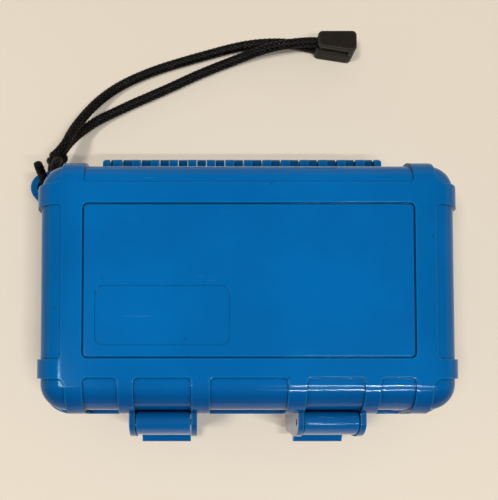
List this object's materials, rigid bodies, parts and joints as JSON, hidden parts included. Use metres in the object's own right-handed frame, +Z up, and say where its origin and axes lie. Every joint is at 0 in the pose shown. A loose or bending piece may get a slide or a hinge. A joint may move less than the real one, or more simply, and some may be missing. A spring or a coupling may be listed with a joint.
{
  "type": "latched carrying case",
  "caption": "Small hard plastic carrying case with a hinged lid, pivoting front latches, a ribbed moulded shell, a corner lug and a tied cord lanyard with a plastic cord end.",
  "frame": {"origin": "middle of the base's underside, on the surface that the closed case rests on", "axes": "+X to the right along the hinge, +Y from the latches to the hinge, +Z up"},
  "size_m": [0.1598, 0.1705, 0.048],
  "materials": {
    "shell_blue": "satin gloss moulded",
    "latch_blue": "gloss moulded",
    "seal_black": "matt",
    "pin_steel": "ground",
    "foam_grey": "open cell foam",
    "cord_black": "braided",
    "cord_end_black": "satin moulded"
  },
  "bodies": {
    "base": {"base_shell": "shell_blue", "hinge_pin": "pin_steel", "base_foam": "foam_grey", "lanyard_strand_upper": "cord_black", "lanyard_strand_lower": "cord_black", "lanyard_loop": "cord_black", "lanyard_tail": "cord_black", "lanyard_knot": "cord_black", "cord_end_lower": "cord_end_black", "cord_end_upper": "cord_end_black"},
    "lid": {"lid_shell": "shell_blue", "lid_seal": "seal_black", "latch_pin_left": "pin_steel", "latch_pin_right": "pin_steel", "lid_foam": "foam_grey"},
    "latch_left_body": {"latch_left": "latch_blue"},
    "latch_right_body": {"latch_right": "latch_blue"}
  },
  "joints": [
    {"name": "lid_hinge", "type": "hinge", "parent": "base", "child": "lid", "pos_m": [0, 0.0474, 0.0265], "axis": [-1, 0, 0], "range_deg": [0, 100]},
    {"name": "latch_left_pivot", "type": "hinge", "parent": "lid", "child": "latch_left_body", "pos_m": [-0.0301, -0.0486, 0.037], "axis": [-1, 0, 0], "range_deg": [0, 115]},
    {"name": "latch_right_pivot", "type": "hinge", "parent": "lid", "child": "latch_right_body", "pos_m": [0.0301, -0.0486, 0.037], "axis": [-1, 0, 0], "range_deg": [0, 115]}
  ]
}
